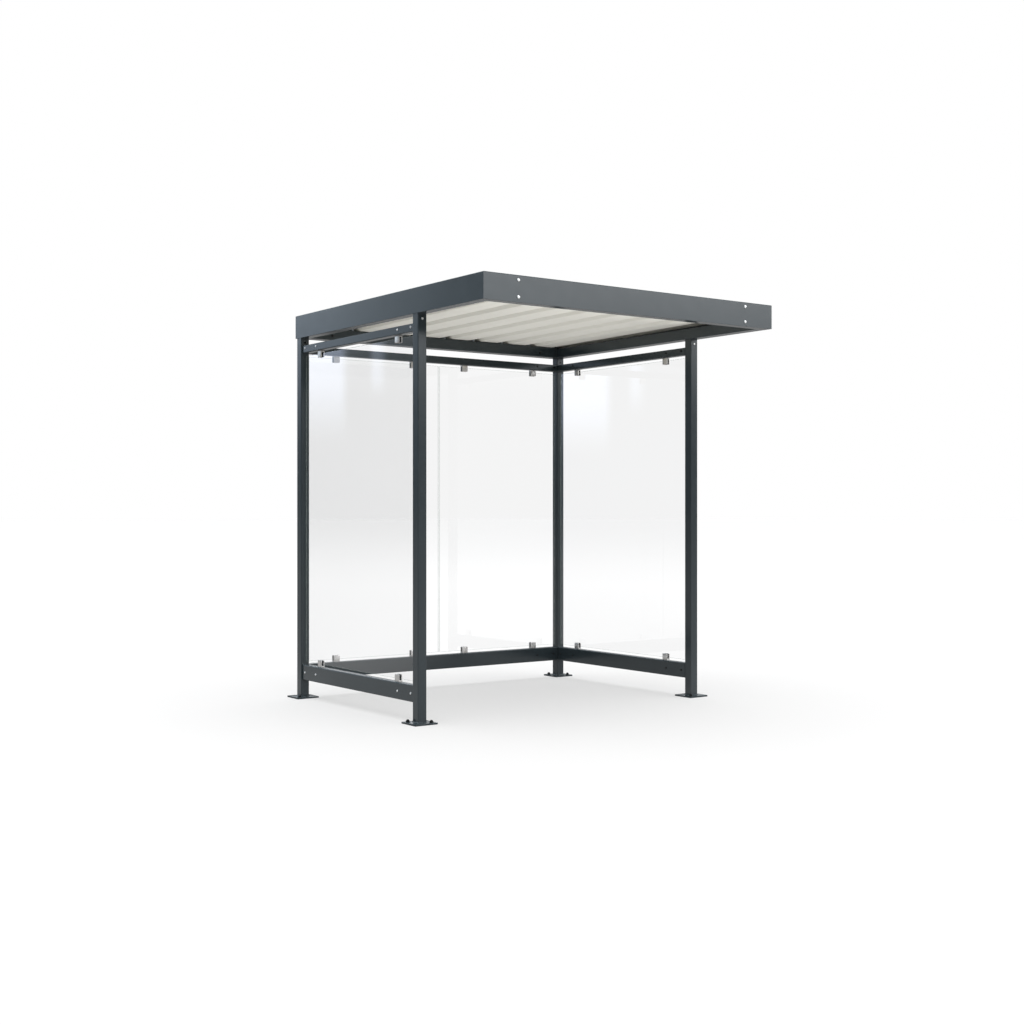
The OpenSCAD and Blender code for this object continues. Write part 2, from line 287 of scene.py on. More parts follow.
def hex_nut(flats, h, bolt_end):
    """A hexagon nut with chamfered corners, and the end of its bolt standing out in the middle."""
    nut = hexagon(flats, 0, h)
    round_rim(nut, h, width=h * 0.13, segments=2)
    pick(nut, "faces", looks_up)
    bpy.ops.mesh.inset(thickness=flats * 0.16)
    bpy.ops.mesh.inset(thickness=flats * 0.03, depth=bolt_end)
    smooth(nut)
    return nut


def turned_to(normal):
    """A turn that takes the up direction to the given one."""
    return Vector((0, 0, 1)).rotation_difference(Vector(normal)).to_matrix().to_4x4()


def set_out(pattern, name, places):
    """Copies a fixing to each (point, direction), turned a little differently each time, and
    joins the copies into one piece."""
    copies = []
    for i, (point, normal) in enumerate(places):
        mesh = pattern.data.copy()
        mesh.transform(Matrix.Translation(point) @ turned_to(normal)
                       @ Matrix.Rotation(math.radians(FIXING_TURN * i), 4, "Z"))
        copies.append(new_object(name, mesh))
    bpy.data.objects.remove(pattern)
    return joined(name, *copies)


def nodes_named(*starts):
    """The CAD nodes whose names start in one of these ways."""
    found = [name for name in NODES if name.startswith(starts)]
    if not found:
        raise RuntimeError(f"no CAD node starts with {starts}")
    return found


def clamp_nodes():
    return [node for node in nodes_named("clamp_") if node != "clamp_pads"]


def level_axes(low, high):
    """Which level axis a box is longer along, and which the other one is: 0 for X and 1 for Y."""
    return (0, 1) if high.x - low.x > high.y - low.y else (1, 0)


def dress(piece, *materials):
    """Gives the piece these materials and no others."""
    piece.data.materials.clear()
    for material in materials:
        piece.data.materials.append(material)


def hand_over(piece, slot, *materials):
    """Gives the piece its materials and its body. Its slot is not used."""
    dress(piece, *materials)
    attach(piece, "root")


# ---------------------------------------------------------------- material nodes

# nearly all of a noise lies between these two values
NOISE_LOW = 0.3
NOISE_HIGH = 0.7


def new_node(tree, kind, inputs, **settings):
    """Adds a node with its settings. Each input gets another node's output or a plain value."""
    node = tree.nodes.new(kind)
    for name, setting in settings.items():
        setattr(node, name, setting)
    for key, value in inputs.items():
        if isinstance(value, bpy.types.NodeSocket):
            tree.links.new(value, node.inputs[key])
        else:
            node.inputs[key].default_value = value
    return node


def calculate(tree, operation, *values):
    """The result of a sum on plain values and other nodes' outputs."""
    node = new_node(tree, "ShaderNodeMath", dict(enumerate(values)), operation=operation)
    return node.outputs["Value"]


def remap(tree, value, reach, result=(0, 1), interpolation_type="LINEAR"):
    """Stretches what lies within reach over the result, and holds what lies beyond at its ends."""
    inputs = {"Value": value, "From Min": reach[0], "From Max": reach[1], "To Min": result[0],
              "To Max": result[1]}
    node = new_node(tree, "ShaderNodeMapRange", inputs, interpolation_type=interpolation_type)
    return node.outputs["Result"]


def grey(level):
    return (level, level, level, 1)


def by_ramp(tree, value, stops):
    """A grey or a colour that follows a value from 0 to 1. Each stop is a place, and a level or rgb."""
    node = new_node(tree, "ShaderNodeValToRGB", {"Fac": value})
    elements = node.color_ramp.elements
    while len(elements) < len(stops):
        elements.new(0.5)
    for element, (place, level) in zip(elements, stops):
        element.position = place
        element.color = (*level, 1) if isinstance(level, tuple) else grey(level)
    return node.outputs["Color"]


def mix_colours(tree, amount, first, second):
    node = new_node(tree, "ShaderNodeMix", {"Factor": amount, "A": first, "B": second}, data_type="RGBA")
    return node.outputs["Result"]


def mix_shaders(tree, amount, first, second):
    return new_node(tree, "ShaderNodeMixShader", {0: amount, 1: first, 2: second}).outputs["Shader"]


def object_noise(tree, size, detail=2.0, stretch=(1, 1, 1)):
    """Noise whose bumps are about size metres apart on the object itself."""
    coords = tree.nodes.new("ShaderNodeTexCoord").outputs["Object"]
    mapping = new_node(tree, "ShaderNodeMapping", {"Vector": coords, "Scale": stretch})
    inputs = {"Vector": mapping.outputs["Vector"], "Scale": 1 / size, "Detail": detail}
    return new_node(tree, "ShaderNodeTexNoise", inputs).outputs["Fac"]


def main_shader(tree):
    return tree.nodes["Principled BSDF"]


def drift_shade(tree, noise, rgb, spread):
    """Lets the colour wander a little darker and lighter."""
    darker, lighter = (tuple(min(c * by, 1) for c in rgb) for by in (1 - spread, 1 + spread))
    tone = by_ramp(tree, noise, ((NOISE_LOW, darker), (NOISE_HIGH, lighter)))
    tree.links.new(tone, main_shader(tree).inputs["Base Color"])


def drift_roughness(tree, noise, low, high):
    """Lets the roughness wander between two values."""
    roughness = remap(tree, noise, (NOISE_LOW, NOISE_HIGH), (low, high))
    tree.links.new(roughness, main_shader(tree).inputs["Roughness"])


def bump(tree, height, strength, depth):
    node = new_node(tree, "ShaderNodeBump", {"Height": height, "Strength": strength, "Distance": depth})
    tree.links.new(node.outputs["Normal"], main_shader(tree).inputs["Normal"])


def set_surface(tree, shader):
    tree.links.new(shader, tree.nodes["Material Output"].inputs["Surface"])


def start_material(name):
    """The material of that name and, if it is new, its nodes to be filled in."""
    material = bpy.data.materials.get(name)
    if material:
        return material, None
    material = bpy.data.materials.new(name)
    material.use_nodes = True
    return material, material.node_tree


# ---------------------------------------------------------------- finishes

def powder_coat(name="anthracite_powder_coat", shine=0.5):
    """Satin anthracite powder coat: a fine orange-peel skin and a slow drift in shade."""
    steel = bpy.context.scene.shelter_steel
    material, tree = start_material(name)
    if tree:
        main_shader(tree).inputs["Specular IOR Level"].default_value = shine
        drift_shade(tree, object_noise(tree, size=0.45), steel.coat_colour, spread=0.07)
        drift_roughness(tree, object_noise(tree, size=0.06), low=steel.coat_roughness - 0.015,
                        high=steel.coat_roughness + 0.015)
        bump(tree, object_noise(tree, size=steel.peel_size, detail=1.0), strength=0.1, depth=0.00012)
    return material


def painted_weld():
    """The same coat over the ripples of a weld."""
    steel = bpy.context.scene.shelter_steel
    material, tree = start_material("painted_weld")
    if tree:
        drift_shade(tree, object_noise(tree, size=0.02), steel.coat_colour, spread=0.12)
        main_shader(tree).inputs["Roughness"].default_value = steel.coat_roughness
        inputs = {"Vector": tree.nodes.new("ShaderNodeTexCoord").outputs["Object"],
                  "Scale": 2 * math.pi / (20 * steel.weld_pitch), "Distortion": 1.2}
        ripple = new_node(tree, "ShaderNodeTexWave", inputs, bands_direction="DIAGONAL")
        bump(tree, ripple.outputs["Fac"], strength=0.8, depth=0.0006)
    return material


def bright_steel():
    """Bright stainless steel of the screws and bolts, finely turned."""
    fixings = bpy.context.scene.shelter_fixings
    material, tree = start_material("bright_steel")
    if tree:
        main_shader(tree).inputs["Metallic"].default_value = 1
        drift_shade(tree, object_noise(tree, size=0.004), fixings.steel_colour, spread=0.08)
        drift_roughness(tree, object_noise(tree, size=0.0015), low=0.22, high=0.36)
        bump(tree, object_noise(tree, size=0.0006), strength=0.1, depth=0.0001)
    return material


def black_steel_and_shade():
    """Black plated steel of the anchor nuts, slightly dusty. On the screws and nuts inside the shelter the
    same black is painted shade.
    """
    fixings = bpy.context.scene.shelter_fixings
    material, tree = start_material("black_plated_steel")
    if tree:
        main_shader(tree).inputs["Specular IOR Level"].default_value = 0.25
        drift_shade(tree, object_noise(tree, size=0.008), fixings.black_and_shade_colour, spread=0.25)
        drift_roughness(tree, object_noise(tree, size=0.004), low=0.34, high=0.5)
        bump(tree, object_noise(tree, size=0.0009), strength=0.12, depth=0.0002)
    return material


def brushed_steel():
    """Stainless steel brushed along its height."""
    glass = bpy.context.scene.shelter_glass
    material, tree = start_material("brushed_steel")
    if tree:
        main_shader(tree).inputs["Metallic"].default_value = 1
        grain = object_noise(tree, size=0.0011, detail=3.0, stretch=(1, 1, 0.03))
        drift_shade(tree, grain, glass.clamp_colour, spread=0.1)
        drift_roughness(tree, object_noise(tree, size=0.012), low=0.36, high=0.46)
        bump(tree, grain, strength=0.15, depth=0.0002)
    return material


def coil_coating():
    """Off-white coil coating of the roof sheet, with a fine grain and faint streaks down the fall."""
    roof = bpy.context.scene.shelter_roof
    material, tree = start_material("off_white_coil_coating")
    if tree:
        streaks = object_noise(tree, size=0.09, detail=3.0, stretch=(1, 0.08, 1))
        drift_shade(tree, streaks, roof.sheet_colour, spread=0.025)
        drift_roughness(tree, object_noise(tree, size=0.05), low=0.46, high=0.56)
        bump(tree, object_noise(tree, size=0.0012, detail=1.0), strength=0.12, depth=0.0002)
    return material


def clear_glass():
    """Clear toughened glass: it lets the view through and mirrors more at a slant."""
    glass = bpy.context.scene.shelter_glass
    material, tree = start_material("clear_toughened_glass")
    if tree:
        tree.nodes.remove(main_shader(tree))
        # clear to the eye, but it takes more out of the light that only lights other things
        ray = tree.nodes.new("ShaderNodeLightPath").outputs
        unseen = calculate(tree, "MAXIMUM", ray["Is Shadow Ray"], ray["Is Diffuse Ray"])
        tint = mix_colours(tree, unseen, grey(glass.clearness), grey(glass.passing))
        through = new_node(tree, "ShaderNodeBsdfTransparent", {"Color": tint})
        mirror = new_node(tree, "ShaderNodeBsdfGlossy", {"Roughness": 0.02, "Color": (0.98, 0.99, 1.0, 1)})
        # a pane mirrors only where a ray meets it from outside
        side = tree.nodes.new("ShaderNodeNewGeometry")
        front = remap(tree, side.outputs["Backfacing"], (0, 1), (1, 0))
        slant = new_node(tree, "ShaderNodeFresnel", {"IOR": glass.mirroring})
        amount = calculate(tree, "MULTIPLY", slant.outputs["Fac"], front)
        set_surface(tree, mix_shaders(tree, amount, through.outputs["BSDF"], mirror.outputs["BSDF"]))
    return material


def polished_edge():
    """The polished rim of a pane, where the light in the glass comes out."""
    glass = bpy.context.scene.shelter_glass
    material, tree = start_material("polished_glass_edge")
    if tree:
        drift_shade(tree, object_noise(tree, size=0.03), glass.edge_colour, spread=0.06)
        drift_roughness(tree, object_noise(tree, size=0.01), low=0.12, high=0.24)
        through = new_node(tree, "ShaderNodeBsdfTransparent", {"Color": (0.87, 0.905, 0.89, 1)})
        polish = main_shader(tree).outputs["BSDF"]
        set_surface(tree, mix_shaders(tree, 0.35, through.outputs["BSDF"], polish))
    return material


def black_rubber():
    """Dull black rubber of the clamp linings."""
    glass = bpy.context.scene.shelter_glass
    material, tree = start_material("black_rubber")
    if tree:
        drift_shade(tree, object_noise(tree, size=0.006), glass.rubber_colour, spread=0.2)
        drift_roughness(tree, object_noise(tree, size=0.003), low=0.7, high=0.9)
        bump(tree, object_noise(tree, size=0.0008), strength=0.25, depth=0.0003)
    return material


# ---------------------------------------------------------------- pieces

class SHELTER_OT_coat_steelwork(bpy.types.Operator):
    """Powder coats the posts, rails, beams, fascias, straps and sheet supports"""
    bl_idname = "shelter.coat_steelwork"
    bl_label = "Coat steelwork"

    def execute(self, context):
        for node in nodes_named("post_", "rail_", "beam_", "fascia_", "sheet_"):
            dress(NODES[node], powder_coat())
        return {"FINISHED"}


class SHELTER_OT_base_plates(bpy.types.Operator):
    """Makes the four base plates with eased edges"""
    bl_idname = "shelter.base_plates"
    bl_label = "Base plates"

    def execute(self, context):
        for node in nodes_named("plate_"):
            plate = merged_copy(node, "base_" + node)
            ease_edges(plate, context.scene.shelter_steel.plate_ease, segments=2)
            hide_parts(node)
            # the plates' coat mirrors less than the posts': painted shade for the plates lying at the floor
            hand_over(plate, "post_paint", powder_coat("scuffed_powder_coat", shine=0.28))
        return {"FINISHED"}


# the curve of a foot weld from its outer edge inwards: how far each step rises and goes in, in legs
WELD_STEPS = ((0.42, 0.10), (0.33, 0.32), (0.25, 0.58))


class SHELTER_OT_foot_welds(bpy.types.Operator):
    """Runs a fillet weld round the foot of each post"""
    bl_idname = "shelter.foot_welds"
    bl_label = "Foot welds"

    def execute(self, context):
        leg = context.scene.shelter_steel.weld_leg
        for node in nodes_named("post_"):
            low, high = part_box(node)
            foot = ((low.x + high.x) / 2, (low.y + high.y) / 2, low.z)
            outer = high.x - low.x + 2 * leg
            bead = new_primitive(bpy.ops.mesh.primitive_plane_add, size=outer, location=foot)
            bpy.context.tool_settings.mesh_select_mode = (True, False, False)
            bpy.ops.object.mode_set(mode="EDIT")
            bpy.ops.mesh.select_all(action="SELECT")
            bpy.ops.mesh.bevel(offset=leg * 2, segments=6, affect="VERTICES")
            bpy.ops.mesh.select_all(action="SELECT")
            bpy.context.tool_settings.mesh_select_mode = (False, False, True)
            for rise, inward in WELD_STEPS:
                bpy.ops.mesh.extrude_region_move(TRANSFORM_OT_translate={"value": (0, 0, rise * leg)})
                inner = outer - 2 * inward * leg
                bpy.ops.transform.resize(value=(inner / outer, inner / outer, 1), center_override=foot)
                outer = inner
            bpy.ops.mesh.select_all(action="SELECT")
            bpy.ops.mesh.normals_make_consistent(inside=False)
            lay_in_place(bead)
            smooth(bead, degrees=60)
            bead.name = "weld_" + node
            hand_over(bead, "post_paint", painted_weld())
        return {"FINISHED"}


class SHELTER_OT_anchor_nuts(bpy.types.Operator):
    """Fits two washers and cap nuts to each base plate"""
    bl_idname = "shelter.anchor_nuts"
    bl_label = "Anchor nuts"

    def execute(self, context):
        size = context.scene.shelter_fixings
        washer = upright(40, size.washer_dia / 2, 0, size.washer_t)
        round_rim(washer, size.washer_t, width=size.washer_t * 0.2, segments=2)
        nut_top = size.washer_t + size.nut_h
        nut = hexagon(size.nut_flats, size.washer_t, nut_top)
        ease_edges(nut, width=size.nut_h * 0.1, segments=2)
        dome = upright(32, size.nut_flats * 0.44, nut_top, nut_top + size.cap_h)
        round_rim(dome, nut_top + size.cap_h, width=size.cap_h * 0.94, segments=6)
        anchor = joined("anchor", dome, nut, washer)
        smooth(anchor)
        places = []
        for node in nodes_named("plate_"):
            low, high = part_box(node)
            middle = (low + high) / 2
            # the two anchors stand on the diagonal that runs across the way to the shelter's middle
            slant = -1 if middle.x * middle.y > 0 else 1
            for way in (-size.anchor_offset, size.anchor_offset):
                places.append((Vector((middle.x + way, middle.y + way * slant, high.z)), (0, 0, 1)))
        hand_over(set_out(anchor, "anchor_nuts", places), "post_paint", black_steel_and_shade())
        return {"FINISHED"}


def frame_screw(size):
    """The button head screw of the rails and posts."""
    return button_head(size.screw_dia, size.screw_h, size.screw_dia * 0.36)


class SHELTER_OT_rail_screws(bpy.types.Operator):
    """Puts two button head screws in both faces of each end of every rail"""
    bl_idname = "shelter.rail_screws"
    bl_label = "Rail screws"

    def execute(self, context):
        size = context.scene.shelter_fixings
        outside, inside = [], []
        for node in nodes_named("rail_"):
            low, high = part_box(node)
            z = (low.z + high.z) / 2 + (size.screw_rise if "upper" in node else 0)
            along, across = level_axes(low, high)
            for start, way in ((low[along], 1), (high[along], -1)):
                for step in (size.screw_end, size.screw_end + size.screw_pitch):
                    for face, out in ((low[across], -1), (high[across], 1)):
                        point, normal = Vector((0, 0, z)), Vector((0, 0, 0))
                        point[along], point[across] = start + way * step, face
                        normal[across] = out
                        # the outer face looks away from the shelter's middle
                        (outside if face * out > 0 else inside).append((point, normal))
        # the inside screws are the same as the outside ones but black: painted shade for the shelter's
        # inside
        for side, places, finish in (("outside", outside, bright_steel()),
                                     ("inside", inside, black_steel_and_shade())):
            screws = set_out(frame_screw(size), "rail_screws_" + side, places)
            hand_over(screws, "rail_paint", finish)
        return {"FINISHED"}


class SHELTER_OT_post_screws(bpy.types.Operator):
    """Puts a button head screw near the top of each post's front face: bright in front, black behind, where
    the black is painted shade under the roof
    """
    bl_idname = "shelter.post_screws"
    bl_label = "Post screws"

    def execute(self, context):
        size = context.scene.shelter_fixings
        for row, finish in (("front", bright_steel()), ("rear", black_steel_and_shade())):
            places = []
            for node in nodes_named("post_" + row):
                low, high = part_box(node)
                point = Vector(((low.x + high.x) / 2, low.y, high.z - size.post_drop))
                places.append((point, (0, -1, 0)))
            screws = set_out(frame_screw(size), "post_screws_" + row, places)
            hand_over(screws, "post_paint", finish)
        return {"FINISHED"}


class SHELTER_OT_fascia_bolts(bpy.types.Operator):
    """Bolts the front and rear fascias to the beams and straps behind them"""
    bl_idname = "shelter.fascia_bolts"
    bl_label = "Fascia bolts"

    def execute(self, context):
        size = context.scene.shelter_fixings
        heads, nuts = [], []
        for row, out in (("front", -1), ("rear", 1)):
            low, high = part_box("fascia_" + row)
            beam_low, beam_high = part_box("beam_" + row)
            face = low.y if out < 0 else high.y
            inner = beam_high.y if out < 0 else beam_low.y
            for x in (low.x + size.bolt_corner, high.x - size.bolt_corner):
                for z in (low.z + size.bolt_edge, high.z - size.bolt_edge):
                    heads.append((Vector((x, face, z)), (0, out, 0)))
                nuts.append((Vector((x, inner, low.z + size.bolt_edge)), (0, -out, 0)))
        head = button_head(size.bolt_dia, size.bolt_h, size.bolt_dia * 0.34)
        hand_over(set_out(head, "fascia_bolts", heads), "fascia_paint", bright_steel())
        # the nuts on the beams' inner faces are black: painted shade for the shelter's inside
        nut = hex_nut(size.bolt_dia * 0.78, size.bolt_h * 1.4, size.bolt_h * 0.12)
        hand_over(set_out(nut, "fascia_nuts", nuts), "roof_frame", black_steel_and_shade())
        return {"FINISHED"}


class SHELTER_OT_roof_sheet(bpy.types.Operator):
    """Makes the ribbed roof sheet with rounded bends"""
    bl_idname = "shelter.roof_sheet"
    bl_label = "Roof sheet"

    def execute(self, context):
        sheet = merged_copy("roof_sheet", "ribbed_roof_sheet")
        mesh = sheet.data
        sides = {}
        for face in mesh.polygons:
            for key in face.edge_keys:
                sides.setdefault(key, []).append(face.normal)

        def is_bend(edge):
            """A bend runs from front to back, and its two faces meet at a slant."""
            a, b = (mesh.vertices[i].co for i in edge.vertices)
            normals = sides.get(tuple(sorted(edge.vertices)), [])
            turn = math.degrees(normals[0].angle(normals[1], 0)) if len(normals) == 2 else 0
            return abs(a.y - b.y) > 1 and 15 < turn < 75

        pick(sheet, "edges", is_bend)
        bpy.ops.mesh.bevel(offset=context.scene.shelter_roof.bend, segments=3, affect="EDGES")
        smooth(sheet)
        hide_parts("roof_sheet")
        hand_over(sheet, "roof_sheet", coil_coating())
        return {"FINISHED"}


class SHELTER_OT_sheet_screws(bpy.types.Operator):
    """Screws each pan of the roof sheet to the two supports"""
    bl_idname = "shelter.sheet_screws"
    bl_label = "Sheet screws"

    def execute(self, context):
        size, roof = context.scene.shelter_fixings, context.scene.shelter_roof
        # a sealing washer, slightly crowned, under a hexagon head
        washer_t, crown = 0.0022, 0.0008
        head_low, head_high = 0.0028, 0.0076
        washer = upright(24, size.roofing_dia / 2, 0, washer_t)
        pick(washer, "faces", looks_up)
        bpy.ops.mesh.inset(thickness=size.roofing_dia * 0.22, depth=crown)
        bpy.ops.mesh.inset(thickness=size.roofing_dia * 0.02, depth=0)
        head = upright(6, size.roofing_dia * 0.29, head_low, head_high)
        ease_edges(head, width=0.0005, segments=2)
        screw = joined("roofing_screw", head, washer)
        smooth(screw)
        low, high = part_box("roof_sheet")
        left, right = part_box("fascia_left")[0].x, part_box("fascia_right")[1].x
        support_low, support_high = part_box("sheet_supports")
        slope = roof.fall / (high.y - low.y)
        pans = int((right - left - roof.rib_start) / roof.rib_pitch)
        places = []
        for y in (support_low.y + size.roofing_inset, support_high.y - size.roofing_inset):
            z = low.z + roof.fall + roof.sheet_t - slope * (y - low.y)
            for pan in range(pans):
                x = left + roof.rib_start + (pan + 0.5) * roof.rib_pitch
                places.append((Vector((x, y, z)), (0, slope, 1)))
        hand_over(set_out(screw, "sheet_screws", places), "roof_sheet", bright_steel())
        return {"FINISHED"}


class SHELTER_OT_glass_panes(bpy.types.Operator):
    """Makes the four panes with ground chamfers and polished edges"""
    bl_idname = "shelter.glass_panes"
    bl_label = "Glass panes"

    def execute(self, context):
        for node in nodes_named("glass_"):
            _, across = level_axes(*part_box(node))
            pane = merged_copy(node, node.replace("glass", "pane"))
            ease_edges(pane, context.scene.shelter_glass.chamfer, segments=1)
            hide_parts(node)
            hand_over(pane, "clear_glass", clear_glass(), polished_edge())
            for face in pane.data.polygons:
                face.material_index = 0 if abs(face.normal[across]) > 0.99 else 1
        return {"FINISHED"}


class SHELTER_OT_glass_clamps(bpy.types.Operator):
    """Makes the glass clamps with eased edges and lines them with rubber"""
    bl_idname = "shelter.glass_clamps"
    bl_label = "Glass clamps"

    def execute(self, context):
        for node in clamp_nodes():
            clamp = merged_copy(node, "steel_" + node)
            ease_edges(clamp, context.scene.shelter_glass.clamp_ease, segments=2)
            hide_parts(node)
            hand_over(clamp, "clamp_steel", brushed_steel())
        dress(NODES["clamp_pads"], black_rubber())
        return {"FINISHED"}


class SHELTER_OT_clamp_screws(bpy.types.Operator):
    """Puts two small screws in the inner jaw of each glass clamp"""
    bl_idname = "shelter.clamp_screws"
    bl_label = "Clamp screws"

    def execute(self, context):
        dia = context.scene.shelter_glass.clamp_screw_dia
        places = []
        for node in clamp_nodes():
            low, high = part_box(node)
            middle = (low + high) / 2
            along, across = level_axes(low, high)
            # the jaw that faces the middle of the shelter
            out = -1 if middle[across] > 0 else 1
            for way in (-1, 1):
                point, normal = middle.copy(), Vector((0, 0, 0))
                point[across] = high[across] if out > 0 else low[across]
                point[along] += way * (high[along] - low[along]) * 0.26
                normal[across] = out
                places.append((point, normal))
        screws = set_out(button_head(dia, dia * 0.2, dia * 0.4), "clamp_screws", places)
        hand_over(screws, "clamp_steel", bright_steel())
        return {"FINISHED"}


# ---------------------------------------------------------------- sky

# Turns are in degrees to the right of the back. Heights are 0 at the horizon and 1 straight up.
# brightness of the dome by height
SKY_DOME = ((0.0, 0.17), (0.14, 0.17), (0.35, 0.5), (0.6, 1.0), (1.0, 1.2))
DOME_LEVEL = 0.85
# the bright rim just over the trees: by height, and by turn
SKY_RIM = ((0.0, 0.0), (0.08, 0.0), (0.10, 0.06), (0.118, 0.34), (0.14, 1.0), (0.24, 1.0), (0.40, 0.0))
SKY_AROUND = ((-180, 0.25), (-90, 0.09), (-45, 0.03), (-34.5, 0.0), (-31, 0.14), (-27, 0.53),
              (-10, 0.42), (30, 0.2), (90, 0.2), (112, 0.4), (128, 1.0), (152, 1.0), (165, 0.5),
              (180, 0.25))
RIM_LEVEL = 4.05
# its colour by turn: cooler on the left than on the right
COOL = (0.86, 0.985, 1.11)
WARM = (0.972, 1.0, 1.028)
SKY_TINT = ((-180, COOL), (-18, COOL), (36, WARM), (162, WARM), (180, COOL))
# gaps between the trees: from and to which turn, the degrees up where each starts and is full,
# and its brightness
SKY_GAPS = (((-29.2, -24.5), (2.4, 5.6), 1.2), ((-30.75, -30.2), (4.4, 5.6), 0.8),
            ((-39.8, -36.6), (2.0, 4.8), 1.5), ((-41.15, -40.6), (3.7, 5.2), 0.9))
# the degrees up where every gap ends and is still full, and how wide its left and right edges fade
GAP_TOP = (7.6, 6.9)
GAP_FADES = (0.45, 0.3)
GAP_BLUE = (0.80, 0.92, 1.16, 1)


def all_round(stops):
    """Changes turns in degrees into places on a ramp that goes all the way round."""
    return [((turn + 180) / 360, level) for turn, level in stops]


def tree_gaps(tree, turn, height):
    """The brightness of the soft gaps between the trees."""
    total = 0.0
    for (left, right), bottom, level in SKY_GAPS:
        gap = level
        for value, edge in ((turn, (left, left + GAP_FADES[0])), (turn, (right + GAP_FADES[1], right)),
                            (height, bottom), (height, GAP_TOP)):
            soft = remap(tree, value, [math.radians(d) for d in edge], interpolation_type="SMOOTHSTEP")
            gap = calculate(tree, "MULTIPLY", soft, gap)
        total = calculate(tree, "ADD", gap, total)
    return total


def soft_world():
    """A pale surround: white behind the shelter, and in reflections a dim line of trees under a
    soft sky that is brightest in front, to the right."""
    world = bpy.data.worlds.new("soft_surround")
    world.use_nodes = True
    tree = world.node_tree
    coords = tree.nodes.new("ShaderNodeTexCoord").outputs["Generated"]
    split = new_node(tree, "ShaderNodeSeparateXYZ", {"Vector": coords}).outputs
    turn = calculate(tree, "ARCTAN2", split["X"], split["Y"])
    around = calculate(tree, "MULTIPLY_ADD", turn, 0.5 / math.pi, 0.5)
    dome = calculate(tree, "MULTIPLY", by_ramp(tree, split["Z"], SKY_DOME), DOME_LEVEL)
    rim_level = calculate(tree, "MULTIPLY", by_ramp(tree, around, all_round(SKY_AROUND)), RIM_LEVEL)
    rim = calculate(tree, "MULTIPLY", by_ramp(tree, split["Z"], SKY_RIM), rim_level)
    gaps = tree_gaps(tree, turn, calculate(tree, "ARCSINE", split["Z"]))
    light = calculate(tree, "ADD", calculate(tree, "ADD", dome, rim), gaps)
    tint = mix_colours(tree, gaps, by_ramp(tree, around, all_round(SKY_TINT)), GAP_BLUE)
    ray = tree.nodes.new("ShaderNodeLightPath").outputs
    seen_tint = mix_colours(tree, ray["Is Glossy Ray"], grey(1), tint)
    sky = tree.nodes["Background"]
    tree.links.new(seen_tint, sky.inputs["Color"])
    tree.links.new(light, sky.inputs["Strength"])
    white = new_node(tree, "ShaderNodeBackground", {"Color": grey(1)}).outputs["Background"]
    surround = mix_shaders(tree, ray["Is Camera Ray"], sky.outputs["Background"], white)
    tree.links.new(surround, tree.nodes["World Output"].inputs["Surface"])
    bpy.context.scene.world = world


# ---------------------------------------------------------------- floor

# The floor by nearness: 1 over the distance from the shelter's middle in metres, in shares of NEAREST.
NEAREST = 0.4
# its own light, seen directly
FLOOR_GLOW = ((0.0, 0.474), (0.025, 0.474), (0.05, 0.48), (0.075, 0.495), (0.108, 0.525),
              (0.168, 0.555), (0.25, 0.543), (0.6, 0.515), (1.0, 0.515))
# how bright steel and glass mirror it: a painted reflection, a glow of the floor seen only in them
FLOOR_MIRRORED = ((0.0, 0.0), (0.007, 0.04), (0.028, 0.3), (0.048, 0.6), (0.068, 0.85), (0.1, 1.0),
                  (0.25, 1.05), (0.5, 1.15), (1.0, 1.5))
# what that is multiplied by and what is added to it, by turn
MIRRORED_SHARE = ((-180, 0.3), (-50, 0.3), (-39, 0.42), (-31, 0.27), (-15, 0.3), (90, 0.3),
                  (115, 0.45), (165, 0.45), (180, 0.3))
MIRRORED_ADDED = ((-180, 0.3), (-60, 0.15), (-50, 0.15), (-39, 0.14), (-31, 0.15), (-15, 0.15),
                 (0, 0.08), (90, 0.1), (115, 0.3), (180, 0.3))
# how strongly it lights what stands on it
FLOOR_UPLIGHT = ((0.0, 0.3), (0.83, 0.3), (1.0, 0.15))


def pale_floor(rgb):
    """The floor's finish. Seen directly it is pale and takes soft shade, with a glow of its own by nearness.
    Steel and glass see a painted reflection of it, a glow that fades towards the horizon and changes with
    the turn. It also lights what stands on it."""
    material, tree = start_material("pale_floor")
    if tree:
        coords = tree.nodes.new("ShaderNodeTexCoord").outputs["Object"]
        split = new_node(tree, "ShaderNodeSeparateXYZ", {"Vector": coords}).outputs
        around = remap(tree, calculate(tree, "ARCTAN2", split["X"], split["Y"]), (-math.pi, math.pi))
        away = new_node(tree, "ShaderNodeVectorMath", {0: coords}, operation="LENGTH").outputs["Value"]
        nearness = remap(tree, calculate(tree, "DIVIDE", 1, away), (0, NEAREST))
        seen = main_shader(tree)
        seen.inputs["Base Color"].default_value = (*rgb, 1)
        seen.inputs["Roughness"].default_value = 0.9
        seen.inputs["Specular IOR Level"].default_value = 0.1
        seen.inputs["Emission Color"].default_value = grey(1)
        tree.links.new(by_ramp(tree, nearness, FLOOR_GLOW), seen.inputs["Emission Strength"])
        mirrored = calculate(tree, "MULTIPLY_ADD", by_ramp(tree, nearness, FLOOR_MIRRORED),
                             by_ramp(tree, around, all_round(MIRRORED_SHARE)),
                             by_ramp(tree, around, all_round(MIRRORED_ADDED)))
        uplight = by_ramp(tree, nearness, FLOOR_UPLIGHT)
        ray = tree.nodes.new("ShaderNodeLightPath").outputs
        shader = seen.outputs["BSDF"]
        for kind, strength in (("Is Glossy Ray", mirrored), ("Is Diffuse Ray", uplight)):
            glow = new_node(tree, "ShaderNodeEmission", {"Strength": strength}).outputs["Emission"]
            shader = mix_shaders(tree, ray[kind], shader, glow)
        set_surface(tree, shader)
    return material


# ---------------------------------------------------------------- lamps

